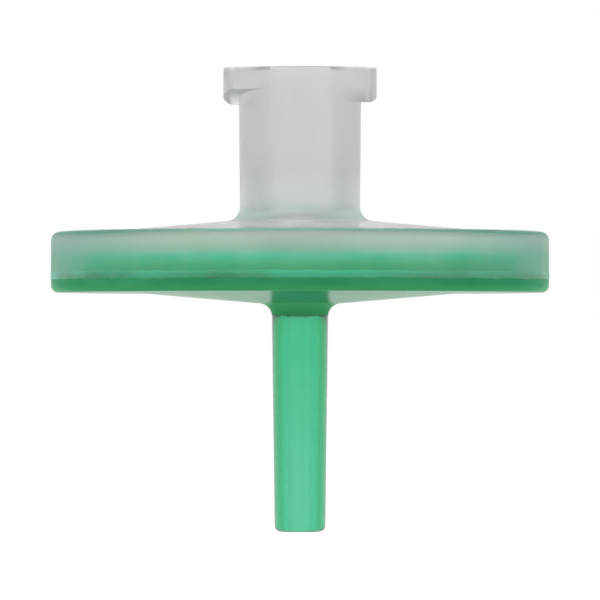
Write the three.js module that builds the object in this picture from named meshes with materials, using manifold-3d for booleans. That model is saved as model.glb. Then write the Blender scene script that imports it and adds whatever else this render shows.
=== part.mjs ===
// A syringe filter: a luer-lock inlet moulding and an outlet moulding with a nozzle, welded
// together round a filter membrane. Millimetres, +Z out of the inlet along the flow axis,
// and the origin at the centre of the inlet's mouth, so every height below it is negative.

import * as THREE from "three";
import { mergeVertices } from "three/addons/utils/BufferGeometryUtils.js";
import Module from "manifold-3d";

const wasm = await Module();
wasm.setup();

// The disc
const discDiameter = 25.3;
const skirtHeight = 2.1;
const flangeHeight = 0.9;
const rimTopRound = 0.45;
const rimBottomRound = 0.35;
const partingRound = 0.12;

// The inlet moulding
const hubHeight = 8.4; // mouth to the top of the rim
const hubTopDiameter = 6.24;
const hubFootDiameter = 6.1;
const hubFootRound = 0.7;
const edgeRound = 0.2;
const inletConeRise = 0.6;
const inletConeFootDiameter = 19.6;
const plateThickness = 1.1;
const skirtWall = 1.2;

// The luer socket and its locking ears
const socketMouthDiameter = 4.3;
const socketDepth = 7.6;
const luerTaper = 0.06; // diameter lost in each unit of depth
const mouthChamfer = 0.12;
const throatDiameter = 2.6;
const earDiameter = 7.8;
const earDepth = 1.45;
const earHalfAngle = THREE.MathUtils.degToRad(24);
const earLead = 5; // how far the ears' helical undersides climb in one turn
const earUnderRound = 0.5;

// The chamber, its flow rings and the ring that clamps the membrane
const chamberDepth = 0.55;
const clampWidth = 1.7;
const clampClearance = 0.1;
const flowRingPitch = 0.6;
const flowRingWidth = 0.3;
const flowRingClearance = 0.1;
const flowRingsStart = 4.2; // the chamber stays open under the hub
const edgeGroove = 0.3;
const channelWidth = 0.86;
const narrowChannelWidth = 0.5;
const channelCount = 4; // of each width
const channelTurn = THREE.MathUtils.degToRad(4.5);

// The membrane, which lies to one side of its recess
const membraneThickness = 0.18;
const membranePlay = 0.6;
const membraneNearGap = 0.14; // to the recess's wall on the side it lies towards
const membraneOffsetAngle = THREE.MathUtils.degToRad(38);

// The outlet moulding
const tongueWall = 1.2;
const tongueRound = 0.1;
const weldClearance = 0.05;
const seatWidth = 1.2;
const drainDepth = 0.52;
const supportRingPitch = 0.8;
const supportRingWidth = 0.36;
const supportRingsStart = 1.7;
const drainWidth = 0.6;
const drainCount = 8;
const funnelDiameter = 2.4;
const funnelDepth = 0.5;
const outletConeDrop = 0.6;
const outletConeRootDiameter = 17;

// The nozzle
const nozzleLength = 12.15; // rim to tip
const nozzleRootDiameter = 2.88;
const nozzleTipDiameter = 2.6;
const nozzleRootRound = 0.65;
const nozzleTipRound = 0.3;
const boreRootDiameter = 1.5;
const boreTipDiameter = 1.2;

// Rings in both halves
const ringDraft = 0.04; // lost from each side between root and tip
const bite = 0.2; // how far a ring's root reaches into the wall that carries it

// Facets
const facets = 48;
const facetAngle = (2 * Math.PI) / facets;
const arcStep = Math.PI / 6;

// Places that both mouldings and the membrane share
const discRadius = discDiameter / 2;
const rimTop = -hubHeight;
const parting = rimTop - skirtHeight;
const rimBottom = parting - flangeHeight;
const chamberRoof = rimTop - plateThickness;
const membraneTop = chamberRoof - chamberDepth;
const seat = membraneTop - membraneThickness;
const skirtBore = discRadius - skirtWall;
const tongueRadius = skirtBore - weldClearance;
const recessRadius = tongueRadius - tongueWall;
const membraneRadius = recessRadius - membranePlay;
const membraneOffset = membranePlay - membraneNearGap;
const clampRadius = recessRadius - clampClearance;
const clampBore = clampRadius - clampWidth;

const naturalPolypropylene = new THREE.MeshStandardMaterial({
  color: 0xc7cac8,
  roughness: 0.35,
  metalness: 0,
  transparent: true,
  opacity: 0.6,
});
const greenPolypropylene = new THREE.MeshStandardMaterial({
  color: 0x36a06e,
  roughness: 0.3,
  metalness: 0,
});
const whiteMembrane = new THREE.MeshStandardMaterial({
  color: 0xf2f3f0,
  roughness: 0.9,
  metalness: 0,
});

// A closed mesh as a solid that can be joined and cut.
function solidOf(geometry) {
  geometry.deleteAttribute("normal");
  geometry.deleteAttribute("uv");
  const merged = mergeVertices(geometry);
  return new wasm.Manifold(
    new wasm.Mesh({
      numProp: 3,
      vertProperties: merged.attributes.position.array,
      triVerts: merged.index.array,
    }),
  );
}

function meshOf(name, solid, material) {
  const { vertProperties, triVerts } = solid.getMesh();
  const geometry = new THREE.BufferGeometry();
  geometry.setAttribute("position", new THREE.BufferAttribute(vertProperties, 3));
  geometry.setIndex(new THREE.BufferAttribute(triVerts, 1));
  geometry.computeVertexNormals();
  const mesh = new THREE.Mesh(geometry, material);
  mesh.name = name;
  return mesh;
}

// The arc that rounds a corner, inside or outside, between its two sides.
function roundedCorner(before, corner, after, round) {
  const back = before.clone().sub(corner).normalize();
  const on = after.clone().sub(corner).normalize();
  const half = Math.acos(back.dot(on)) / 2;
  const toCentre = back.clone().add(on).setLength(round / Math.sin(half));
  const centre = corner.clone().add(toCentre);
  const reach = round / Math.tan(half);
  const start = corner.clone().addScaledVector(back, reach).sub(centre);
  const turn = Math.sign(back.cross(on)) * (Math.PI - 2 * half);
  const steps = Math.ceil(Math.abs(turn) / arcStep);
  const origin = new THREE.Vector2();
  return Array.from({ length: steps + 1 }, (_, i) =>
    start.clone().rotateAround(origin, (-turn * i) / steps).add(centre),
  );
}

// A closed outline from corners of [radius, height, rounding].
function outline(corners) {
  const at = corners.map(([r, z]) => new THREE.Vector2(r, z));
  return at.flatMap((corner, i) => {
    const round = corners[i][2] ?? 0;
    const before = at.at(i - 1);
    const after = at[(i + 1) % at.length];
    return round ? roundedCorner(before, corner, after, round) : [corner];
  });
}

// The outline turned about the Z axis. Its outer side runs upwards.
function revolved(corners) {
  const profile = outline(corners);
  const geometry = new THREE.LatheGeometry([...profile, profile[0]], facets);
  return solidOf(geometry.rotateX(Math.PI / 2));
}

function joined(solids) {
  return solids.reduce((whole, solid) => whole.add(solid));
}

// Rings one inside the other, from the largest inwards. They narrow towards their tips.
function concentricRings({ largest, smallest, pitch, width, root, tip }) {
  const rings = [];
  const rootHalf = width / 2;
  const tipHalf = rootHalf - ringDraft;
  for (let radius = largest; radius >= smallest; radius -= pitch) {
    const standing = [
      [radius - rootHalf, root],
      [radius + rootHalf, root],
      [radius + tipHalf, tip],
      [radius - tipHalf, tip],
    ];
    rings.push(revolved(root < tip ? standing : standing.reverse()));
  }
  return joined(rings);
}

// Bars through the axis that cut radial channels, two channels to each bar.
function crossedBars({ channels, width, reach, low, high, turn }) {
  const bars = [];
  for (let i = 0; i < channels / 2; i += 1) {
    const bar = new THREE.BoxGeometry(2 * reach, width, high - low);
    bar.translate(0, 0, (low + high) / 2);
    bar.rotateZ(turn + (2 * Math.PI * i) / channels);
    bars.push(solidOf(bar));
  }
  return joined(bars);
}

// The ear's section swept round the Z axis. Its lower half climbs as a right-hand helix, which
// runs level beyond the ends of the ear's outer arc.
function earRidge(section, middle, stepsEachSide) {
  const halfSweep = stepsEachSide * facetAngle;
  const bar = new THREE.ExtrudeGeometry(section, {
    depth: 2 * halfSweep,
    steps: 2 * stepsEachSide,
    bevelEnabled: false,
  });
  const place = bar.attributes.position;
  for (let i = 0; i < place.count; i += 1) {
    const radius = place.getX(i);
    const height = place.getY(i);
    const offset = halfSweep - place.getZ(i);
    const angle = middle + offset;
    const turned = THREE.MathUtils.clamp(offset, -earHalfAngle, earHalfAngle);
    const climb = height < -earDepth / 2 ? (earLead * turned) / (2 * Math.PI) : 0;
    place.setXYZ(i, radius * Math.cos(angle), radius * Math.sin(angle), height + climb);
  }
  return solidOf(bar);
}

// A kite between the hub's axis and the point where the two tangent flanks would meet.
function betweenFlanks(hubRadius, tangentAngle, middle) {
  const tangent = new THREE.Vector2(Math.cos(tangentAngle), Math.sin(tangentAngle));
  tangent.multiplyScalar(hubRadius);
  const kite = new THREE.Shape([
    new THREE.Vector2(0, 0),
    new THREE.Vector2(tangent.x, -tangent.y),
    new THREE.Vector2(hubRadius / Math.cos(tangentAngle), 0),
    tangent,
  ]);
  const prism = new THREE.ExtrudeGeometry(kite, { depth: 2 * hubHeight, bevelEnabled: false });
  return solidOf(prism.translate(0, 0, -hubHeight).rotateZ(middle));
}

// One ear of the luer lock. Its flanks leave the hub on tangents, and its helical underside
// lets the syringe's collar draw it in.
function lockingEar(middle) {
  const hubRadius = hubTopDiameter / 2;
  const earRadius = earDiameter / 2;
  const wallMiddle = (hubRadius + socketMouthDiameter / 2) / 2;
  const tangentAngle = earHalfAngle + Math.acos(hubRadius / earRadius);
  const section = new THREE.Shape(
    outline([
      [wallMiddle, -earDepth],
      [earRadius, -earDepth, earUnderRound],
      [earRadius, 0, edgeRound],
      [wallMiddle, 0],
    ]),
  );
  const ridge = earRidge(section, middle, Math.ceil(tangentAngle / facetAngle));
  return ridge.intersect(betweenFlanks(hubRadius, tangentAngle, middle));
}

function inletHousing() {
  const hubTop = hubTopDiameter / 2;
  const hubFoot = hubFootDiameter / 2;
  const mouth = socketMouthDiameter / 2;
  const socketEnd = mouth - (luerTaper * socketDepth) / 2;
  const throat = throatDiameter / 2;
  const body = revolved([
    [mouth + mouthChamfer, 0],
    [mouth, -mouthChamfer],
    [socketEnd, -socketDepth],
    [throat, -socketDepth],
    [throat, chamberRoof],
    [clampBore, chamberRoof],
    [clampBore, membraneTop],
    [clampRadius, membraneTop],
    [clampRadius, chamberRoof],
    [skirtBore, chamberRoof],
    [skirtBore, parting],
    [discRadius, parting, partingRound],
    [discRadius, rimTop, rimTopRound],
    [inletConeFootDiameter / 2, rimTop],
    [hubFoot, rimTop + inletConeRise, hubFootRound],
    [hubTop, 0, edgeRound],
  ]);

  const largest = clampBore - edgeGroove - flowRingWidth / 2;
  const rings = concentricRings({
    largest,
    smallest: flowRingsStart,
    pitch: flowRingPitch,
    width: flowRingWidth,
    root: chamberRoof + bite,
    tip: membraneTop + flowRingClearance,
  });
  const cut = {
    channels: channelCount,
    reach: clampBore,
    low: membraneTop,
    high: chamberRoof + bite,
  };
  const channels = crossedBars({ ...cut, width: channelWidth, turn: channelTurn });
  const narrowTurn = channelTurn + Math.PI / channelCount;
  const narrowChannels = crossedBars({ ...cut, width: narrowChannelWidth, turn: narrowTurn });
  const flowRings = rings.subtract(channels).subtract(narrowChannels);
  return joined([body, flowRings, lockingEar(0), lockingEar(Math.PI)]);
}

function membrane() {
  const geometry = new THREE.CylinderGeometry(
    membraneRadius,
    membraneRadius,
    membraneThickness,
    facets,
  );
  geometry.rotateX(Math.PI / 2);
  geometry.translate(
    membraneOffset * Math.cos(membraneOffsetAngle),
    membraneOffset * Math.sin(membraneOffsetAngle),
    (membraneTop + seat) / 2,
  );
  return solidOf(geometry);
}

function outletHousing() {
  const tip = rimBottom - nozzleLength;
  const drainFloor = seat - drainDepth;
  const drainRadius = recessRadius - seatWidth;
  const body = revolved([
    [boreTipDiameter / 2, tip],
    [nozzleTipDiameter / 2, tip, nozzleTipRound],
    [nozzleRootDiameter / 2, rimBottom - outletConeDrop, nozzleRootRound],
    [outletConeRootDiameter / 2, rimBottom],
    [discRadius, rimBottom, rimBottomRound],
    [discRadius, parting, partingRound],
    [tongueRadius, parting],
    [tongueRadius, chamberRoof, tongueRound],
    [recessRadius, chamberRoof, tongueRound],
    [recessRadius, seat],
    [drainRadius, seat],
    [drainRadius, drainFloor],
    [funnelDiameter / 2, drainFloor],
    [boreRootDiameter / 2, drainFloor - funnelDepth],
  ]);

  const rings = concentricRings({
    largest: drainRadius - supportRingPitch + supportRingWidth / 2,
    smallest: supportRingsStart,
    pitch: supportRingPitch,
    width: supportRingWidth,
    root: drainFloor - bite,
    tip: seat,
  });
  const drains = crossedBars({
    channels: drainCount,
    width: drainWidth,
    reach: drainRadius,
    low: drainFloor - bite,
    high: seat + bite,
    turn: channelTurn,
  });
  return body.add(rings.subtract(drains));
}

const filter = new THREE.Group();
filter.name = "syringe_filter";
filter.add(
  meshOf("inlet_housing", inletHousing(), naturalPolypropylene),
  meshOf("membrane", membrane(), whiteMembrane),
  meshOf("outlet_housing", outletHousing(), greenPolypropylene),
);

export default filter;
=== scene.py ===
# A 25 mm syringe filter: a natural and a green polypropylene moulding welded round a membrane.
# Shapes are drawn in millimetres in the frame's axes (+Z out of the inlet) and scaled at the end.
import math

import bmesh
import bpy
from mathutils import Matrix, Vector, noise


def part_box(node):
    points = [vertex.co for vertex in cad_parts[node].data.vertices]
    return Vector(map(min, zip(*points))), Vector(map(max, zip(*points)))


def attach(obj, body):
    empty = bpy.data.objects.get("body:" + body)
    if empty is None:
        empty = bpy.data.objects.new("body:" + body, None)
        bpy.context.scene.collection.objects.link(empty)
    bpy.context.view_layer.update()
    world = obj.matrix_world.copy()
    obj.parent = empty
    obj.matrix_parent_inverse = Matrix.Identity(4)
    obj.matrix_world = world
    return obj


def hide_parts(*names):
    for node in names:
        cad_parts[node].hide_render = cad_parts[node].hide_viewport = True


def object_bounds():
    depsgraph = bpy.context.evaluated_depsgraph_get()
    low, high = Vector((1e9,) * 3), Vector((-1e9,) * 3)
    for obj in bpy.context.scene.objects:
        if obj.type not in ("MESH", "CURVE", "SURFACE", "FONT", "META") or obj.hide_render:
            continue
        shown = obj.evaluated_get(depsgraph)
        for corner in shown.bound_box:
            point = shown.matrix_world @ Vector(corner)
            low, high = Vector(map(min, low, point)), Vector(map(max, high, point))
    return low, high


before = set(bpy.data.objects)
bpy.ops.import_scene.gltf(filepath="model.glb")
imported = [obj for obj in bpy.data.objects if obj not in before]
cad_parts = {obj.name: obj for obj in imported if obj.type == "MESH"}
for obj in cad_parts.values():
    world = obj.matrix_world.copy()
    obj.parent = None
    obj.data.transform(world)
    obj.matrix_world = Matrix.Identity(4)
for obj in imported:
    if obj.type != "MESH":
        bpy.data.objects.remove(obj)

mm = 0.001
scene = bpy.context.scene
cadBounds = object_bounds()
print("frame loaded:", sorted(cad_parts))


def boxInMm(node):
    low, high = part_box(node)
    return low / mm, high / mm


# Places taken from the frame, in millimetres.
inletLow, inletHigh = boxInMm("inlet_housing")
outletLow, outletHigh = boxInMm("outlet_housing")
membraneLow, membraneHigh = boxInMm("membrane")
discRadius = inletHigh.x
parting = inletLow.z            # where the two mouldings meet at the rim
tongueTop = outletHigh.z        # the green ring reaches the underside of the plate here
tip = outletLow.z
membraneTop = membraneHigh.z
seat = membraneLow.z            # the membrane lies on the support ribs at this height

hairGap = 0.015                 # keeps faces that meet from lying in one plane
nearly = 0.001                  # places closer than this count as the same
drawnWeld = 0.0001              # corners closer than this become one in a turned profile,
joinedWeld = 0.0005             # and closer than this after a join
sharpAngle = math.radians(38)
turnSteps = 192
cornerSteps = 6
sortingLine = Vector((1, 31.7, 1009.3))     # slanted, so that corners hardly ever tie


def everything(bm):
    return bm.verts[:] + bm.edges[:] + bm.faces[:]


def onlyVerts(items):
    return [item for item in items if isinstance(item, bmesh.types.BMVert)]


def roundOff(bm, items, offset, affect="VERTICES", steps=cornerSteps):
    bmesh.ops.bevel(bm, geom=items, offset=offset, offset_type="OFFSET", segments=steps,
                    profile=0.5, affect=affect, clamp_overlap=affect == "EDGES", material=-1)


# A profile in the XZ plane, from corners of (radius, height) or (radius, height, rounding). It is
# closed, unless it starts and ends on the axis.
def drawProfile(bm, corners, filled=False):
    verts = [bm.verts.new((corner[0], 0, corner[1])) for corner in corners]
    onAxis = corners[0][0] == 0 and corners[-1][0] == 0
    if filled:
        bm.faces.new(verts)
    else:
        for start, end in zip(verts, verts[1:] if onAxis else verts[1:] + verts[:1]):
            bm.edges.new((start, end))
    places = [vert.co.copy() for vert in verts]
    for i, (vert, corner) in enumerate(zip(verts, corners)):
        if len(corner) < 3:
            continue
        back = places[i - 1] - places[i]
        on = places[(i + 1) % len(places)] - places[i]
        roundOff(bm, [vert], corner[2] / math.tan(back.angle(on) / 2))


# Spin leaves its faces in a new order each time, so they are sorted by place. The solids then
# join in the same way in each run.
def turn(bm, angle, steps, whole=False, copies=False):
    bmesh.ops.spin(bm, geom=everything(bm), cent=(0, 0, 0), axis=(0, 0, 1), dvec=(0, 0, 0),
                   angle=angle, steps=steps, use_merge=whole, use_duplicate=copies)
    bm.verts.sort(key=lambda vert: vert.co.dot(sortingLine))
    bm.edges.sort(key=lambda edge: (edge.verts[0].co + edge.verts[1].co).dot(sortingLine))
    bm.faces.sort(key=lambda face: face.calc_center_median().dot(sortingLine))
    bmesh.ops.recalc_face_normals(bm, faces=bm.faces[:])


def swivel(bm, angle):
    matrix = Matrix.Rotation(angle, 3, "Z")
    bmesh.ops.rotate(bm, cent=(0, 0, 0), matrix=matrix, verts=bm.verts[:])


# A body of revolution about the Z axis.
def revolved(corners, steps=turnSteps):
    bm = bmesh.new()
    drawProfile(bm, corners)
    turn(bm, 2 * math.pi, steps, whole=True)
    bmesh.ops.remove_doubles(bm, verts=bm.verts[:], dist=drawnWeld)
    bmesh.ops.recalc_face_normals(bm, faces=bm.faces[:])
    return bm


# Cuts away what lies beyond a plane and closes the cut. A flat face needs no closing.
def trim(bm, point, outward, flat=False):
    result = bmesh.ops.bisect_plane(bm, geom=everything(bm), plane_co=point, plane_no=outward,
                                    clear_outer=True)
    if flat:
        return
    cut = [item for item in result["geom_cut"] if isinstance(item, bmesh.types.BMEdge)]
    bmesh.ops.edgeloop_fill(bm, edges=cut)
    bmesh.ops.recalc_face_normals(bm, faces=bm.faces[:])


def addObject(name, data):
    added = bpy.data.objects.new(name, data)
    scene.collection.objects.link(added)
    return added


# Joins closed solids into one skin, cuts the hollows out of it and brings it to metres.
def makePiece(name, solids, hollows=()):
    parts = []
    for solid in [*solids, *hollows]:
        mesh = bpy.data.meshes.new(name)
        solid.to_mesh(mesh)
        solid.free()
        parts.append(addObject(name, mesh))
    body = parts[0]
    for i, other in enumerate(parts[1:], 1):
        step = body.modifiers.new("join", "BOOLEAN")
        step.operation = "UNION" if i < len(solids) else "DIFFERENCE"
        step.solver = "EXACT"
        step.object = other
    bpy.context.view_layer.update()
    finished = body.evaluated_get(bpy.context.evaluated_depsgraph_get())
    joined = bpy.data.meshes.new_from_object(finished)
    for part in parts:
        bpy.data.objects.remove(part)

    bm = bmesh.new()
    bm.from_mesh(joined)
    bmesh.ops.remove_doubles(bm, verts=bm.verts[:], dist=joinedWeld)
    bmesh.ops.dissolve_degenerate(bm, edges=bm.edges[:], dist=joinedWeld)
    bmesh.ops.recalc_face_normals(bm, faces=bm.faces[:])
    bmesh.ops.scale(bm, vec=(mm, mm, mm), verts=bm.verts[:])
    bm.to_mesh(joined)
    bm.free()
    joined.shade_smooth()
    joined.set_sharp_from_angle(angle=sharpAngle)
    joined.name = name
    piece = addObject(name, joined)
    evenNormals = piece.modifiers.new("even_normals", "WEIGHTED_NORMAL")
    evenNormals.keep_sharp = True
    print("made", name, len(joined.polygons), "faces")
    return piece


# Concentric ribs cut through by radial channels, wide and narrow in turn. The rib sections are
# turned from the middle of one channel to the middle of the next, trimmed beside both, mirrored
# and copied round.
def ribArcs(ribs, fromZ, toZ):
    bm = bmesh.new()
    count = int((ribs["largest"] - ribs["smallest"]) / ribs["pitch"]) + 1
    root = ribs["width"] / 2
    end = root - ribs["draft"]
    for i in range(count):
        radius = ribs["largest"] - i * ribs["pitch"]
        drawProfile(bm, [(radius - root, fromZ), (radius + root, fromZ),
                         (radius + end, toZ), (radius - end, toZ)], filled=True)
    between = 2 * math.pi / ribs["channels"]
    turn(bm, between, ribs["steps"])
    wideSide = Vector((0, -1, 0))
    narrowSide = Vector((-math.sin(between), math.cos(between), 0))
    trim(bm, -wideSide * ribs["channel"] / 2, wideSide)
    trim(bm, -narrowSide * ribs["narrowChannel"] / 2, narrowSide)
    half = bmesh.ops.duplicate(bm, geom=everything(bm))["geom"]
    bmesh.ops.scale(bm, vec=(1, -1, 1), verts=onlyVerts(half))
    turn(bm, 2 * (math.pi - between), ribs["channels"] // 2 - 1, copies=True)
    swivel(bm, ribs["turned"])
    return bm


# The inlet moulding: hub, cone, plate, clamping ring and skirt. Sizes are in millimetres.
inletSizes = {
    "hubHeight": 8.31, "hubTop": 3.12, "hubFoot": 3.05, "footRound": 0.7, "edgeRound": 0.2,
    "coneRise": 0.6, "coneFoot": 9.8, "topRound": 0.45, "skirtWall": 1.2,
    "clampOuter": 10.1, "clampInner": 8.4, "clampRound": 0.06,
}
socketSizes = {         # luerTaper is on the radius
    "mouth": 2.15, "mouthChamfer": 0.12, "depth": 7.6, "luerTaper": 0.03, "floorRound": 0.1,
    "throat": 1.3, "overcut": 0.5,
}
flowRibs = {
    "largest": 7.95, "smallest": 4.2, "pitch": 0.6, "width": 0.3, "draft": 0.04,
    "channels": 8, "channel": 0.86, "narrowChannel": 0.5, "turned": math.radians(4.5),
    "steps": 24, "rootBite": 0.2, "clearance": 0.1,
}
earSizes = {
    "radius": 3.9, "depth": 1.45, "halfAngle": math.radians(24), "lead": 5,
    "cornerRound": 0.6, "cornerSteps": 8, "cornerTurn": math.radians(10),
    "underRound": 0.5, "edgeRound": 0.2,
}
weldLip = {
    "proud": 0.018, "above": 0.12, "below": 0.25, "gap": 0.005, "topRound": 0.01, "footRound": 0.006,
    "waver": 0.07, "topShare": 0.6, "rippleShare": 0.5, "lumps": 5.5, "topLumps": 3, "ripples": 5,
    "topStart": Vector((0, 0, 7)),
}
witnessLine = {"width": 0.1, "proud": 0.02, "depth": 0.25, "start": 0.3}
rimTop = -inletSizes["hubHeight"]
skirtFoot = parting + hairGap


# The thin lip that the weld squeezed out over the joint wavers at its foot and, less, at its top.
def waverLip(bm):
    lip = weldLip
    for vert in bm.verts:
        outward = Vector((vert.co.x, vert.co.y, 0))
        if outward.length < discRadius - nearly or vert.co.z > parting + lip["above"] + nearly:
            continue
        place = outward.normalized() * lip["lumps"]
        if vert.co.z > parting:
            wander = noise.noise(lip["topLumps"] * place + lip["topStart"])
            vert.co.z += lip["waver"] * lip["topShare"] * wander
        elif vert.co.z < skirtFoot - nearly:
            ripple = noise.noise(lip["ripples"] * place)
            vert.co.z += lip["waver"] * (noise.noise(place) + lip["rippleShare"] * ripple)


def inletBody():
    s, lip = inletSizes, weldLip
    skirtBore = discRadius - s["skirtWall"]
    lipInside = discRadius + lip["gap"]
    lipOutside = discRadius + lip["proud"]
    lipTop, lipFoot = parting + lip["above"], parting - lip["below"]
    bm = revolved([
        (0, tongueTop), (s["clampInner"], tongueTop),
        (s["clampInner"], membraneTop, s["clampRound"]),
        (s["clampOuter"], membraneTop, s["clampRound"]), (s["clampOuter"], tongueTop),
        (skirtBore, tongueTop), (skirtBore, skirtFoot),
        (lipInside, skirtFoot), (lipInside, lipFoot),
        (lipOutside, lipFoot, lip["footRound"]), (lipOutside, lipTop, lip["topRound"]),
        (discRadius, lipTop), (discRadius, rimTop, s["topRound"]),
        (s["coneFoot"], rimTop), (s["hubFoot"], rimTop + s["coneRise"], s["footRound"]),
        (s["hubTop"], 0, s["edgeRound"]), (0, 0),
    ], 2 * turnSteps)
    waverLip(bm)
    return bm


# The tapered socket, its floor and the throat below it.
def socketHollow():
    s = socketSizes
    end = s["mouth"] - s["luerTaper"] * s["depth"]
    chamfered = s["mouth"] + s["mouthChamfer"]
    throatEnd = tongueTop - s["overcut"]
    return revolved([
        (0, s["overcut"]), (chamfered, s["overcut"]), (chamfered, 0),
        (s["mouth"], -s["mouthChamfer"]), (end, -s["depth"], s["floorRound"]),
        (s["throat"], -s["depth"]), (s["throat"], throatEnd), (0, throatEnd),
    ])


# An ear: a disc cut down to an arc between two tangents of the hub, with its corners rounded,
# extruded to its depth, its edges rounded and its underside sheared into a helix between them.
def lockingEar():
    s = earSizes
    hub = inletSizes["hubTop"]
    bm = bmesh.new()
    bmesh.ops.create_circle(bm, cap_ends=True, segments=turnSteps, radius=s["radius"])
    fromTangent = math.acos(hub / s["radius"])
    tangentAngle = s["halfAngle"] + fromTangent
    for side in (1, -1):
        outward = Vector((math.cos(tangentAngle), side * math.sin(tangentAngle), 0))
        trim(bm, outward * hub, outward, flat=True)
    inside = hub * math.cos(tangentAngle)
    trim(bm, Vector((inside, 0, 0)), Vector((-1, 0, 0)), flat=True)
    corners = [vert for vert in bm.verts
               if vert.calc_edge_angle(0) > s["cornerTurn"] and vert.co.x > hub]
    reach = s["cornerRound"] * math.tan((math.pi / 2 - fromTangent) / 2)
    roundOff(bm, corners, reach, steps=s["cornerSteps"])
    extruded = bmesh.ops.extrude_face_region(bm, geom=bm.faces[:])["geom"]
    bmesh.ops.translate(bm, vec=(0, 0, -s["depth"]), verts=onlyVerts(extruded))
    bmesh.ops.recalc_face_normals(bm, faces=bm.faces[:])
    for height, rounding in ((0, s["edgeRound"]), (-s["depth"], s["underRound"])):
        rim = [edge for edge in bm.edges
               if all(abs(vert.co.z - height) < nearly for vert in edge.verts)
               and (edge.verts[0].co.xy + edge.verts[1].co.xy).length / 2 > hub - nearly]
        roundOff(bm, rim, rounding, affect="EDGES")
    for vert in bm.verts:
        if vert.co.z < -s["depth"] / 2:
            angle = math.atan2(vert.co.y, vert.co.x)
            angle = max(-s["halfAngle"], min(s["halfAngle"], angle))
            vert.co.z += s["lead"] * angle / (2 * math.pi)
    return bm


def bothEars():
    bm = lockingEar()
    turn(bm, math.pi, 1, copies=True)
    return bm


# The fine line that the two halves of the mould leave down the hub, the cone and the plate.
def witnessRidge():
    s, line = inletSizes, witnessLine
    proud, inside = line["proud"], line["depth"]
    coneTop = rimTop + s["coneRise"]
    lineEnd = discRadius - s["topRound"]
    bm = bmesh.new()
    drawProfile(bm, [
        (s["hubTop"] - inside, -line["start"]), (s["hubTop"] + proud, -line["start"]),
        (s["hubFoot"] + proud, coneTop + proud, s["footRound"]),
        (s["coneFoot"], rimTop + proud), (lineEnd, rimTop + proud),
        (lineEnd, rimTop - inside), (s["coneFoot"], rimTop - inside),
        (s["hubFoot"] - inside, coneTop - inside, s["footRound"] + inside),
    ], filled=True)
    bmesh.ops.translate(bm, vec=(0, -line["width"] / 2, 0), verts=bm.verts[:])
    extruded = bmesh.ops.extrude_face_region(bm, geom=bm.faces[:])["geom"]
    bmesh.ops.translate(bm, vec=(0, line["width"], 0), verts=onlyVerts(extruded))
    swivel(bm, -math.pi / 2)
    turn(bm, math.pi, 1, copies=True)
    return bm


inletHousing = makePiece("inlet_housing_fine", [
    inletBody(), bothEars(),
    ribArcs(flowRibs, tongueTop + flowRibs["rootBite"], membraneTop + flowRibs["clearance"]),
    witnessRidge(),
], [socketHollow()])
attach(inletHousing, "root")
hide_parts("inlet_housing")


# The outlet moulding: flange, ring, seat, cone and nozzle. Sizes are in millimetres.
outletSizes = {
    "flangeHeight": 0.9, "bottomRound": 0.35, "jointRound": 0.14, "coneDrop": 0.6, "coneRoot": 8.5,
    "tongueOuter": 11.4, "tongueInner": 10.2, "tongueRound": 0.12,
    "nozzleRoot": 1.44, "nozzleTip": 1.3, "rootRound": 0.65, "tipRound": 0.3,
    "boreRoot": 0.75, "boreTip": 0.6, "boreRound": 0.05, "funnel": 1.2, "funnelDepth": 0.5,
    "funnelRound": 0.3, "drainEdge": 9.0, "drainDepth": 0.52, "drainRound": 0.05,
    "collar": 1.15, "polishFrom": 2.0,
}
supportRibs = {
    "largest": 8.38, "smallest": 1.7, "pitch": 0.8, "width": 0.36, "draft": 0.04,
    "channels": 8, "channel": 0.6, "narrowChannel": 0.6, "turned": math.radians(4.5),
    "steps": 24, "rootBite": 0.2,
}
rimBottom = parting - outletSizes["flangeHeight"]
drainFloor = seat - outletSizes["drainDepth"]
clearFinish, satinFinish, polishedFinish = 1, 2, 3      # places in the housing's list of materials


def outletBody():
    s = outletSizes
    ringTop = tongueTop - hairGap
    return revolved([
        (s["boreTip"], tip, s["boreRound"]), (s["nozzleTip"], tip, s["tipRound"]),
        (s["nozzleRoot"], rimBottom - s["coneDrop"], s["rootRound"]),
        (s["coneRoot"], rimBottom), (discRadius, rimBottom, s["bottomRound"]),
        (discRadius, parting, s["jointRound"]), (s["tongueOuter"], parting),
        (s["tongueOuter"], ringTop, s["tongueRound"]),
        (s["tongueInner"], ringTop, s["tongueRound"]), (s["tongueInner"], seat),
        (s["drainEdge"], seat, s["drainRound"]), (s["drainEdge"], drainFloor),
        (s["funnel"], drainFloor), (s["boreRoot"], drainFloor - s["funnelDepth"], s["funnelRound"]),
    ])


# The nozzle is thin enough to see through, so below the collar it has a clear finish. The rim's
# edge and the collar are satin, and the cone between them is polished.
def assignFinishes(piece):
    s = outletSizes
    collarEnd = (rimBottom - s["collar"]) * mm
    bm = bmesh.new()
    bm.from_mesh(piece.data)
    bmesh.ops.bisect_plane(bm, geom=everything(bm), plane_co=(0, 0, collarEnd), plane_no=(0, 0, 1))
    for face in bm.faces:
        middle = face.calc_center_median()
        height, radius = middle.z / mm, middle.xy.length / mm
        if middle.z < collarEnd:
            face.material_index = clearFinish
        elif radius > discRadius - s["bottomRound"] and height < parting:
            face.material_index = satinFinish
        elif height < rimBottom + nearly:
            face.material_index = polishedFinish if radius > s["polishFrom"] else satinFinish
    bm.to_mesh(piece.data)
    bm.free()


outletHousing = makePiece("outlet_housing_fine", [
    outletBody(),
    ribArcs(supportRibs, drainFloor - supportRibs["rootBite"], seat),
])
assignFinishes(outletHousing)
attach(outletHousing, "root")
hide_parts("outlet_housing")


# The membrane lies a little off the axis, where the frame has it.
membraneSizes = {"edgeRound": 0.04, "steps": 128}
membraneRadius = (membraneHigh.x - membraneLow.x) / 2


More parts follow.
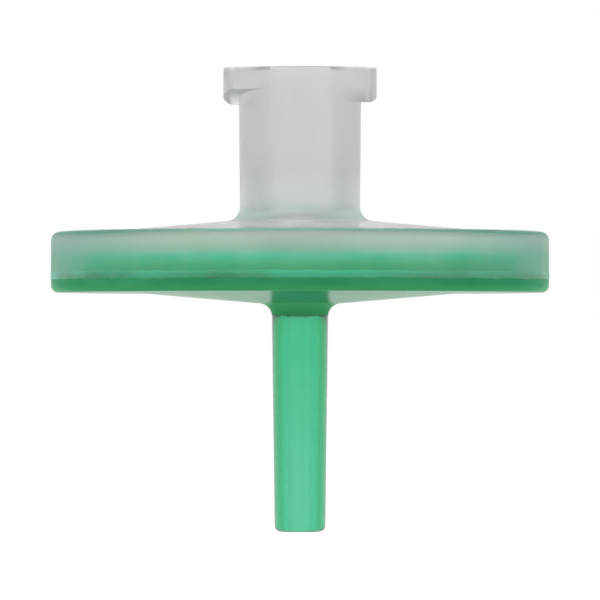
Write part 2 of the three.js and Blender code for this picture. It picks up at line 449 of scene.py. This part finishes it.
def membraneDisc():
    s = membraneSizes
    middle = (membraneLow + membraneHigh) / 2
    under, over = seat + hairGap, membraneTop - hairGap
    bm = revolved([(0, under), (membraneRadius, under, s["edgeRound"]),
                   (membraneRadius, over, s["edgeRound"]), (0, over)], s["steps"])
    bmesh.ops.translate(bm, vec=(middle.x, middle.y, 0), verts=bm.verts[:])
    return bm


membrane = makePiece("membrane_fine", [membraneDisc()])
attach(membrane, "root")
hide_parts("membrane")


# Building blocks of the finishes. A value is a number, a colour, or another node's output.
def newMaterial(name):
    material = bpy.data.materials.new(name)
    material.use_nodes = True
    tree = material.node_tree
    return material, tree, tree.nodes["Principled BSDF"]


def addNode(tree, kind, **settings):
    node = tree.nodes.new(kind)
    for key, value in settings.items():
        setattr(node, key, value)
    return node


def feed(tree, socket, value):
    if isinstance(value, bpy.types.NodeSocket):
        tree.links.new(value, socket)
    elif socket.type == "RGBA":
        socket.default_value = (*value, 1)
    else:
        socket.default_value = value


def feedAll(tree, node, values):
    for name, value in values.items():
        feed(tree, node.inputs[name], value)


def noiseAt(tree, vector, scale, detail=2.0, roughness=0.5):
    texture = addNode(tree, "ShaderNodeTexNoise")
    feedAll(tree, texture, {"Vector": vector, "Scale": scale, "Detail": detail,
                            "Roughness": roughness})
    return texture.outputs["Fac"]


def remap(tree, value, span, toLow=0.0, toHigh=1.0):
    node = addNode(tree, "ShaderNodeMapRange")
    feedAll(tree, node, {"Value": value, "From Min": span[0], "From Max": span[1],
                         "To Min": toLow, "To Max": toHigh})
    return node.outputs["Result"]


# A smooth 0 to 1 along a span of heights or radii, in millimetres.
def fade(tree, value, span):
    result = remap(tree, value, (span[0] * mm, span[1] * mm))
    result.node.interpolation_type = "SMOOTHSTEP"
    return result


def combine(tree, operation, first, second):
    node = addNode(tree, "ShaderNodeMath", operation=operation)
    feed(tree, node.inputs[0], first)
    feed(tree, node.inputs[1], second)
    return node.outputs[0]


def multiply(tree, first, *others):
    for other in others:
        first = combine(tree, "MULTIPLY", first, other)
    return first


def blendColours(tree, factor, first, second):
    node = addNode(tree, "ShaderNodeMix", data_type="RGBA")
    tree.links.new(factor, node.inputs["Factor"])
    for name, colour in (("A", first), ("B", second)):
        feed(tree, next(s for s in node.inputs if s.name == name and s.type == "RGBA"), colour)
    return next(s for s in node.outputs if s.type == "RGBA")


def addRelief(tree, shader, height, strength, depth):
    bump = addNode(tree, "ShaderNodeBump")
    feedAll(tree, bump, {"Strength": strength, "Distance": depth, "Height": height})
    tree.links.new(bump.outputs["Normal"], shader.inputs["Normal"])


# The place in the piece, with height along the axis, distance from it and the way to a side.
def axialPlace(tree):
    place = addNode(tree, "ShaderNodeTexCoord").outputs["Object"]
    split = addNode(tree, "ShaderNodeSeparateXYZ")
    tree.links.new(place, split.inputs[0])
    across = addNode(tree, "ShaderNodeVectorMath", operation="MULTIPLY")
    across.inputs[1].default_value = (1, 1, 0)
    tree.links.new(place, across.inputs[0])
    length = addNode(tree, "ShaderNodeVectorMath", operation="LENGTH")
    tree.links.new(across.outputs[0], length.inputs[0])
    return {"place": place, "height": split.outputs["Z"], "radius": length.outputs["Value"],
            "sideways": split.outputs["X"]}


# A mask for each zone of a piece: 0 before the first place and 1 past the second.
def zoneMasks(tree, at, zones):
    return {name: fade(tree, at[measure], span) for name, (measure, *span) in zones.items()}


mouldedSkinLook = {
    "cloudDetail": 3.0, "cloudRoughness": 0.55, "cloudSpan": (0.3, 0.7), "cloudMiddle": 0.5,
    "grainDetail": 2.0, "grainRoughness": 0.6, "relief": 0.3,
}


# What every moulded face has: soft clouds where the melt flowed, and the fine grain of the mould.
def mouldedSkinGroup():
    s = mouldedSkinLook
    tree = bpy.data.node_groups.new("moulded_skin", "ShaderNodeTree")
    for name in ("Cloud Scale", "Grain Scale", "Roughness", "Unevenness"):
        tree.interface.new_socket(name, in_out="INPUT", socket_type="NodeSocketFloat")
    for name in ("Cloud", "Roughness", "Height"):
        tree.interface.new_socket(name, in_out="OUTPUT", socket_type="NodeSocketFloat")
    given = addNode(tree, "NodeGroupInput").outputs
    place = addNode(tree, "ShaderNodeTexCoord").outputs["Object"]
    clouds = noiseAt(tree, place, given["Cloud Scale"], s["cloudDetail"], s["cloudRoughness"])
    grain = noiseAt(tree, place, given["Grain Scale"], s["grainDetail"], s["grainRoughness"])
    swing = addNode(tree, "ShaderNodeMath", operation="MULTIPLY_ADD")
    tree.links.new(combine(tree, "SUBTRACT", clouds, s["cloudMiddle"]), swing.inputs[0])
    tree.links.new(given["Unevenness"], swing.inputs[1])
    tree.links.new(given["Roughness"], swing.inputs[2])
    feedAll(tree, addNode(tree, "NodeGroupOutput"), {
        "Cloud": remap(tree, clouds, s["cloudSpan"]), "Roughness": swing.outputs[0],
        "Height": grain,
    })
    return tree


mouldedSkin = mouldedSkinGroup()
plasticIor = 1.49


def addSkin(tree, shader, look):
    skin = addNode(tree, "ShaderNodeGroup", node_tree=mouldedSkin)
    feedAll(tree, skin, {"Cloud Scale": look["cloudScale"], "Grain Scale": look["grainScale"],
                         "Roughness": look["roughness"], "Unevenness": look["unevenness"]})
    tree.links.new(skin.outputs["Roughness"], shader.inputs["Roughness"])
    relief = mouldedSkinLook["relief"]
    addRelief(tree, shader, skin.outputs["Height"], relief, look["grainDepth"] * mm)
    return skin


# In each look, scales are per metre and depths are in millimetres.
naturalLook = {
    "light": (0.805, 0.81, 0.805), "dark": (0.765, 0.775, 0.77),
    # The hub colours and the hub-foot colour below are painted shade: the hub darker than the plate,
    # lighter again at its foot.
    "hubShadeLight": (0.615, 0.62, 0.615), "hubShadeDark": (0.585, 0.595, 0.59),
    "hubFoot": (0.77, 0.775, 0.775), "fillet": (0.90, 0.78, 0.82),
    # The ear-top colour is painted light.
    "inward": (0.96, 0.97, 0.965), "topFace": (0.87, 0.84, 0.84), "paintedLitEarTop": (1.0, 1.0, 1.0),
    # The skirt colours and the green below are painted green light from the ring, greener at the far
    # sides.
    "skirtPale": (0.66, 0.655, 0.605), "skirtEnds": (0.43, 0.67, 0.57),
    # The over-ring colour is painted green light from the ring below the plate.
    "green": (0.055, 0.50, 0.30), "paintedRingLight": (0.12, 0.68, 0.46),
    # The edge-line colours are painted shade along the rim's top edge, and the lip colour is painted
    # light.
    "paintedShadeLine": (0.14, 0.54, 0.39), "paintedShadeLineEnds": (0.05, 0.62, 0.41), "lip": (0.20, 0.94, 0.78),
    # The groove colour is painted shade at the rib roots under the plate, and the rib-tip colour
    # painted light.
    "groove": (0.82, 0.90, 0.86), "paintedLitRibTip": (0.98, 0.99, 0.98),
    "cloudScale": 260.0, "grainScale": 7000.0, "grainDepth": 0.02,
    "roughness": 0.24, "unevenness": 0.08, "hubHaze": 0.1, "filletHaze": 0.2, "skirtHaze": 0.2,
    "transmission": 0.95, "shadow": 0.9, "gloss": 0.3,
}
naturalZones = {        # in millimetres
    "skirtOut": ("radius", discRadius - 0.45, discRadius - 0.15),
    "skirtDown": ("height", rimTop + 0.05, rimTop - 0.1),
    "sides": ("aside", 6.5, 11.0),
    "hubIn": ("radius", earSizes["radius"] + 0.8, earSizes["radius"] + 0.3),
    "hubUp": ("height", rimTop + 0.41, rimTop + 0.81),
    "hubDown": ("height", rimTop + 3.31, rimTop + 1.31),
    "filletOut": ("radius", inletSizes["hubFoot"] - 0.45, inletSizes["hubFoot"] - 0.05),
    "filletDown": ("height", rimTop + 1.11, rimTop + 0.91),
    "filletUp": ("height", rimTop + 0.41, rimTop + 0.61),
    "socketIn": ("radius", socketSizes["mouth"] + 0.25, socketSizes["mouth"] + 0.15),
    "socketUp": ("height", -socketSizes["depth"] - 0.1, -socketSizes["depth"] + 0.1),
    "faceUp": ("height", -0.15, -0.05),
    "earOut": ("radius", inletSizes["hubTop"] + 0.03, inletSizes["hubTop"] + 0.18),
    "ringOut": ("radius", outletSizes["tongueInner"] - 0.2, outletSizes["tongueInner"] + 0.1),
    "ringIn": ("radius", outletSizes["tongueOuter"] + 0.2, outletSizes["tongueOuter"] - 0.2),
    "plateDown": ("height", rimTop - 0.49, rimTop - 0.59),
    "plateIn": ("radius", inletSizes["clampOuter"] + 0.2, inletSizes["clampOuter"]),
    "ribsDown": ("height", tongueTop - 0.05, tongueTop - 0.4),
    "lineOut": ("radius", discRadius - 0.45, discRadius - 0.35),
    "lineDown": ("height", rimTop + 0.02, rimTop - 0.04),
    "lipOut": ("radius", discRadius + weldLip["gap"], discRadius + weldLip["proud"] - 0.004),
}
# The ring's green light is painted up the skirt in patches. It wavers, and it climbs higher in the
# middle of the filter and at its far sides. Spans, wavers and lifts are in millimetres, scales per
# metre.
paintedSkirtGlow = {
    "down": (rimTop - 0.14, rimTop - 1.11),
    "broadScale": 100.0, "broadWaver": 1.4, "fineScale": 900.0, "fineWaver": 0.2,
    "middle": (1.5, 4.5), "middleLift": (0.67, 0.43), "side": (6.5, 8.5), "sideLift": (0.0, 0.11),
    "patchScale": 420.0, "patches": (0.35, 0.65), "leastGreen": 0.7,
}
# A painted line of shade along the rim's top edge, and painted patches of light on the lip at its
# foot.
rimShadeAndLight = {
    "lineUp": (rimTop - 0.2, rimTop - 0.12), "sideDrop": 0.05,
    "lipScale": 160.0, "lipPatches": (0.42, 0.62), "leastLip": 0.05,
}


# How much painted green light from the ring the skirt takes at each place, from 0 to 1.
def paintedSkirtGlowMask(tree, at):
    g = paintedSkirtGlow
    broad = multiply(tree, noiseAt(tree, at["place"], g["broadScale"], 1.0), g["broadWaver"] * mm)
    fine = multiply(tree, noiseAt(tree, at["place"], g["fineScale"]), g["fineWaver"] * mm)
    height = combine(tree, "ADD", at["height"], combine(tree, "ADD", broad, fine))
    shifts = []
    for span, lift in ((g["middle"], g["middleLift"]), (g["side"], g["sideLift"])):
        shifts.append(remap(tree, at["aside"], (span[0] * mm, span[1] * mm),
                            -lift[0] * mm, -lift[1] * mm))
    height = combine(tree, "ADD", height, combine(tree, "ADD", *shifts))
    patches = noiseAt(tree, at["place"], g["patchScale"])
    return multiply(tree, fade(tree, height, g["down"]),
                    remap(tree, patches, g["patches"], g["leastGreen"], 1.0))


# Lets a share of the light through in place of a full shadow.
def thinShadow(tree, shader, share):
    clear = addNode(tree, "ShaderNodeBsdfTransparent")
    clear.inputs["Color"].default_value = (share, share, share, 1)
    choose = addNode(tree, "ShaderNodeMixShader")
    path = addNode(tree, "ShaderNodeLightPath")
    tree.links.new(path.outputs["Is Shadow Ray"], choose.inputs[0])
    tree.links.new(shader.outputs[0], choose.inputs[1])
    tree.links.new(clear.outputs[0], choose.inputs[2])
    tree.links.new(choose.outputs[0], tree.nodes["Material Output"].inputs["Surface"])


# Uncoloured polypropylene: milky, so most of the light goes through it blurred. Its colour carries
# painted light and shade: green light from the ring inside it on the skirt and over the ring, shade
# on the hub, at the rib roots and along the rim's top edge, and light on the ear tops, the rib tips
# and the lip.
def naturalPolypropylene():
    s, rim = naturalLook, rimShadeAndLight
    material, tree, shader = newMaterial("natural_polypropylene")
    skin = addSkin(tree, shader, s)
    at = axialPlace(tree)
    at["aside"] = combine(tree, "ABSOLUTE", at["sideways"], 0.0)
    zone = zoneMasks(tree, at, naturalZones)
    skirt = multiply(tree, zone["skirtOut"], zone["skirtDown"])
    fillet = multiply(tree, zone["filletDown"], zone["filletUp"], zone["filletOut"])
    ring = multiply(tree, zone["ringOut"], zone["ringIn"])
    underPlate = multiply(tree, zone["plateDown"], zone["plateIn"])
    socket = multiply(tree, zone["socketIn"], zone["socketUp"])
    # Painted shade: a line along the rim's top edge, reaching a little lower at the far sides.
    sideDrop = multiply(tree, zone["sides"], rim["sideDrop"] * mm)
    lineHeight = combine(tree, "ADD", at["height"], sideDrop)
    line = multiply(tree, zone["lineDown"], fade(tree, lineHeight, rim["lineUp"]), zone["lineOut"])
    # Painted light, in patches, on the lip at the joint.
    lumps = noiseAt(tree, at["place"], rim["lipScale"])
    lip = multiply(tree, zone["lipOut"], remap(tree, lumps, rim["lipPatches"], rim["leastLip"], 1.0))

    rough = skin.outputs["Roughness"]
    for mask, haze in ((skirt, s["skirtHaze"]), (zone["hubIn"], s["hubHaze"]),
                       (fillet, s["filletHaze"])):
        rough = combine(tree, "ADD", rough, multiply(tree, mask, haze))

    cloud = skin.outputs["Cloud"]
    # Painted shade: the hub's wall and ears darker than the plate, lighter again towards the hub's
    # foot.
    hub = blendColours(tree, cloud, s["hubShadeDark"], s["hubShadeLight"])
    hub = blendColours(tree, zone["hubDown"], hub, s["hubFoot"])
    # Painted light: the ear tops are white, so that the ears show no darker than the plate from
    # above.
    topFace = blendColours(tree, zone["earOut"], s["topFace"], s["paintedLitEarTop"])
    # Painted green light from the ring on the skirt, greener towards the far sides.
    pale = blendColours(tree, zone["sides"], s["skirtPale"], s["skirtEnds"])
    paintedGreenLight = blendColours(tree, paintedSkirtGlowMask(tree, at), pale, s["green"])
    # Painted shade at the rib roots under the plate, painted light at the rib tips.
    ribs = blendColours(tree, zone["ribsDown"], s["groove"], s["paintedLitRibTip"])
    edge = blendColours(tree, zone["sides"], s["paintedShadeLine"], s["paintedShadeLineEnds"])
    colour = blendColours(tree, cloud, s["dark"], s["light"])
    # Over the ring the plate takes painted green light from the ring.
    for mask, over in ((zone["hubUp"], hub), (fillet, s["fillet"]), (socket, s["inward"]),
                       (zone["faceUp"], topFace), (ring, s["paintedRingLight"]), (skirt, paintedGreenLight),
                       (underPlate, ribs), (line, edge), (lip, s["lip"])):
        colour = blendColours(tree, mask, colour, over)
    feedAll(tree, shader, {"Base Color": colour, "Roughness": rough, "IOR": plasticIor,
                           "Specular IOR Level": s["gloss"],
                           "Transmission Weight": s["transmission"]})
    thinShadow(tree, shader, s["shadow"])
    return material


greenLook = {
    "deep": (0.024, 0.230, 0.093), "deepCloud": (0.042, 0.298, 0.130),
    "inside": (0.08, 0.84, 0.46), "ledge": (0.05, 0.95, 0.55),
    "wallTop": (0.38, 0.94, 0.86), "wallFoot": (0.03, 0.60, 0.31), "thin": (0.05, 0.31, 0.125),
    # The collar colour is painted light, against the shade of the flange above it.
    "collar": (0.055, 0.37, 0.135), "underLip": (0.06, 0.49, 0.31),
    "cloudScale": 220.0, "grainScale": 7000.0, "unevenness": 0.05,
    "glow": 0.6, "glowDepth": 0.8, "glowColour": (0.25, 1.0, 0.6),
}
greenFinishes = {
    "green_polypropylene": {"gloss": 0.3, "roughness": 0.25, "grainDepth": 0.02},
    "satin_green_polypropylene": {"gloss": 0.005, "roughness": 0.25, "grainDepth": 0.02},
    "polished_green_polypropylene": {"gloss": 0.004, "roughness": 0.19, "grainDepth": 0.003},
}
greenZones = {
    "thinOut": ("radius", discRadius - 0.65, discRadius - 0.35),
    "thinDown": ("height", rimBottom + 0.4, rimBottom + 0.1),
    "collarIn": ("radius", 2.6, 2.2),
    "collarDown": ("height", rimBottom - 0.3, rimBottom - 0.5),
    "wallDown": ("height", tongueTop + 0.05, parting + 0.15),
    "wallOut": ("radius", outletSizes["tongueOuter"] - 0.15, outletSizes["tongueOuter"] - 0.05),
    "wallUp": ("height", parting + 0.01, parting + 0.04),
    "ledgeOut": ("radius", outletSizes["tongueOuter"], outletSizes["tongueOuter"] + 0.1),
    "ledgeDown": ("height", parting + 0.1, parting + 0.02),
    "flangeOut": ("radius", discRadius - 0.35, discRadius - 0.2),
    "lipDown": ("height", parting + 0.05, parting),
    "edgeDown": ("height", parting - 0.18, parting - 0.26),
    "undersideDown": ("height", rimBottom + 0.25, rimBottom + 0.1),
}


# The green half: bright on the inside and under the lip, where light comes back from the natural
# half, and deep on the outside.
def greenPolypropylene(name):
    s = {**greenLook, **greenFinishes[name]}
    material, tree, shader = newMaterial(name)
    skin = addSkin(tree, shader, s)
    zone = zoneMasks(tree, axialPlace(tree), greenZones)
    thin = multiply(tree, zone["thinDown"], zone["thinOut"])
    collar = multiply(tree, zone["collarDown"], zone["collarIn"])
    outerWall = multiply(tree, zone["wallOut"], zone["wallUp"])
    ledge = multiply(tree, zone["ledgeOut"], zone["ledgeDown"])
    underLip = multiply(tree, zone["flangeOut"], zone["lipDown"])
    edge = multiply(tree, zone["flangeOut"], zone["edgeDown"])
    outside = combine(tree, "MAXIMUM", zone["undersideDown"], edge)

    deep = blendColours(tree, skin.outputs["Cloud"], s["deep"], s["deepCloud"])
    deep = blendColours(tree, thin, deep, s["thin"])
    # Painted light on the collar, against the shade of the flange above it.
    deep = blendColours(tree, collar, deep, s["collar"])
    bright = blendColours(tree, zone["wallDown"], s["wallTop"], s["wallFoot"])
    bright = blendColours(tree, outerWall, s["inside"], bright)
    bright = blendColours(tree, ledge, bright, s["ledge"])
    bright = blendColours(tree, underLip, bright, s["underLip"])
    feedAll(tree, shader, {
        "Base Color": blendColours(tree, outside, bright, deep), "IOR": plasticIor,
        "Specular IOR Level": s["gloss"], "Subsurface Weight": s["glow"],
        "Subsurface Radius": s["glowColour"], "Subsurface Scale": s["glowDepth"] * mm,
    })
    return material


nozzleLook = {
    "root": (0.40, 0.95, 0.74), "tip": (1.0, 1.0, 0.90), "bore": (1.0, 0.92, 0.94),
    "streakRoot": (0.24, 0.88, 0.60), "streakTip": (0.72, 0.97, 0.78),
    "streakScale": 2000.0, "streakStretch": 0.02, "streaks": (0.35, 0.65),
    "cloudScale": 220.0, "grainScale": 7000.0, "grainDepth": 0.02,
    "roughness": 0.15, "unevenness": 0.05, "transmission": 1.0, "gloss": 0.05,
    "depth": (0.25, 0.85, 0.72), "density": 2300.0,
}
nozzleZones = {
    "tipDown": ("height", rimBottom - 1.1, tip + 1.55),
    "boreIn": ("radius", outletSizes["boreRoot"] + 0.2, outletSizes["boreRoot"] + 0.1),
}


# The same green, thin: the colour builds up with the depth of plastic that the light crosses.
# Fine streaks run down the nozzle: painted light and shade, standing for the stripes that the bore
# makes in it.
def clearGreenPolypropylene():
    s = nozzleLook
    material, tree, shader = newMaterial("clear_green_polypropylene")
    addSkin(tree, shader, s)
    at = axialPlace(tree)
    zone = zoneMasks(tree, at, nozzleZones)
    # Painted streaks of light and shade along the nozzle.
    drawn = addNode(tree, "ShaderNodeMapping")
    feedAll(tree, drawn, {"Vector": at["place"], "Scale": (1, 1, s["streakStretch"])})
    streaks = noiseAt(tree, drawn.outputs["Vector"], s["streakScale"], 1.0)
    colour = blendColours(tree, remap(tree, streaks, s["streaks"]),
                          blendColours(tree, zone["tipDown"], s["streakRoot"], s["streakTip"]),
                          blendColours(tree, zone["tipDown"], s["root"], s["tip"]))
    colour = blendColours(tree, zone["boreIn"], colour, s["bore"])
    feedAll(tree, shader, {"Base Color": colour, "IOR": plasticIor,
                           "Specular IOR Level": s["gloss"],
                           "Transmission Weight": s["transmission"]})
    absorb = addNode(tree, "ShaderNodeVolumeAbsorption")
    feedAll(tree, absorb, {"Color": s["depth"], "Density": s["density"]})
    tree.links.new(absorb.outputs[0], tree.nodes["Material Output"].inputs["Volume"])
    return material


membraneLook = {
    "pore": (0.77, 0.84, 0.79), "fibre": (0.86, 0.92, 0.88),
    "poreScale": 14000.0, "poreDetail": 3.0, "poreRoughness": 0.7,
    "clamped": (0.59, 0.745, 0.65), "groove": (0.54, 0.76, 0.64),
    # The throat colour is painted shade: little light reaches the membrane down the deep throat.
    "throat": (0.69, 0.73, 0.69), "edge": (0.52, 0.70, 0.60),
    "roughness": 0.9, "relief": 0.4, "poreDepth": 0.01,
}
membraneZones = {
    "clamped": ("radius", inletSizes["clampInner"] - 0.15, inletSizes["clampInner"] + 0.1),
    "grooveOut": ("radius", inletSizes["clampInner"] - 1.0, inletSizes["clampInner"] - 0.35),
    "grooveIn": ("radius", inletSizes["clampInner"] + 0.1, inletSizes["clampInner"] - 0.25),
    "throat": ("radius", socketSizes["throat"] + 0.1, socketSizes["throat"] - 0.1),
    "edge": ("radius", membraneRadius - 0.4, membraneRadius),
}


# The membrane: white and porous. It is tinted greener and darker under the clamp ring, in a ring at
# the clamp's inner edge and at its own edge, and at the throat it is painted with shade.
def filterMembrane():
    s = membraneLook
    material, tree, shader = newMaterial("filter_membrane")
    at = axialPlace(tree)
    zone = zoneMasks(tree, at, membraneZones)
    groove = multiply(tree, zone["grooveOut"], zone["grooveIn"])
    pores = noiseAt(tree, at["place"], s["poreScale"], s["poreDetail"], s["poreRoughness"])
    colour = blendColours(tree, pores, s["pore"], s["fibre"])
    for mask, tint in ((zone["clamped"], s["clamped"]), (groove, s["groove"]),
                       (zone["throat"], s["throat"]), (zone["edge"], s["edge"])):
        colour = blendColours(tree, mask, colour, tint)
    feedAll(tree, shader, {"Base Color": colour, "Roughness": s["roughness"]})
    addRelief(tree, shader, pores, s["relief"], s["poreDepth"] * mm)
    return material


inletHousing.data.materials.append(naturalPolypropylene())
outletHousing.data.materials.append(greenPolypropylene("green_polypropylene"))
outletHousing.data.materials.append(clearGreenPolypropylene())
outletHousing.data.materials.append(greenPolypropylene("satin_green_polypropylene"))
outletHousing.data.materials.append(greenPolypropylene("polished_green_polypropylene"))
membrane.data.materials.append(filterMembrane())
print("finishes made")


# The room, in metres: a pale floor, soft light and the camera.
studio = {
    "floorDrop": 0.010, "floorRadius": 1.8, "floorSteps": 96, "floorGrey": 0.8,
    "floorRoughness": 0.9, "floorLift": 0.45, "ambient": 0.8,
    "cameraDistance": 0.3325, "cameraDrop": 0.0019, "frameWidth": 0.0305,
    "sensorWidth": 36, "nearest": 0.01, "farthest": 10,
}
lamps = {
    "key_lamp": {"place": (-0.35, -0.45, 0.45), "size": 0.5, "power": 1.6},
    "fill_lamp": {"place": (0.5, -0.35, 0.2), "size": 0.5, "power": 0.7},
}
white = (1, 1, 1)
centre = (cadBounds[0] + cadBounds[1]) / 2


# True for rays that look at the surroundings straight, in a mirror or through the plastic.
def lookingRay(tree):
    path = addNode(tree, "ShaderNodeLightPath")
    total = path.outputs["Is Camera Ray"]
    for name in ("Is Glossy Ray", "Is Transmission Ray"):
        total = combine(tree, "MAXIMUM", total, path.outputs[name])
    return total


# The world lights softly, and is white where it is looked at.
def makeWorld():
    world = bpy.data.worlds.new("white_room")
    scene.world = world
    world.use_nodes = True
    tree = world.node_tree
    lighting = tree.nodes["Background"]
    feedAll(tree, lighting, {"Color": white, "Strength": studio["ambient"]})
    seen = addNode(tree, "ShaderNodeBackground")
    feedAll(tree, seen, {"Color": white, "Strength": 1})
    choose = addNode(tree, "ShaderNodeMixShader")
    tree.links.new(lookingRay(tree), choose.inputs[0])
    tree.links.new(lighting.outputs[0], choose.inputs[1])
    tree.links.new(seen.outputs[0], choose.inputs[2])
    tree.links.new(choose.outputs[0], tree.nodes["World Output"].inputs["Surface"])


def makeFloor():
    s = studio
    bm = bmesh.new()
    bmesh.ops.create_circle(bm, cap_ends=True, segments=s["floorSteps"], radius=s["floorRadius"])
    bmesh.ops.translate(bm, vec=(0, 0, tip * mm - s["floorDrop"]), verts=bm.verts[:])
    mesh = bpy.data.meshes.new("floor")
    bm.to_mesh(mesh)
    bm.free()
    floor = addObject("floor", mesh)
    material, tree, shader = newMaterial("white_floor")
    lift = multiply(tree, lookingRay(tree), s["floorLift"])
    feedAll(tree, shader, {"Base Color": (s["floorGrey"],) * 3, "Roughness": s["floorRoughness"],
                           "Emission Color": white, "Emission Strength": lift})
    mesh.materials.append(material)


def faceCentre(holder):
    holder.rotation_euler = (centre - holder.location).to_track_quat("-Z", "Y").to_euler()


def addLamp(name, place, size, power):
    lamp = bpy.data.lights.new(name, "AREA")
    lamp.shape = "DISK"
    lamp.size = size
    lamp.energy = power
    holder = addObject(name, lamp)
    holder.location = place
    faceCentre(holder)


def makeCamera():
    s = studio
    camera = bpy.data.cameras.new("camera")
    camera.sensor_width = s["sensorWidth"]
    camera.lens = camera.sensor_width * s["cameraDistance"] / s["frameWidth"]
    camera.clip_start, camera.clip_end = s["nearest"], s["farthest"]
    holder = addObject("camera", camera)
    holder.location = centre - Vector((0, s["cameraDistance"], s["cameraDrop"]))
    faceCentre(holder)
    scene.camera = holder


makeWorld()
makeFloor()
for name, lamp in lamps.items():
    addLamp(name, **lamp)
makeCamera()
scene.view_settings.view_transform = "Standard"
print("studio made")
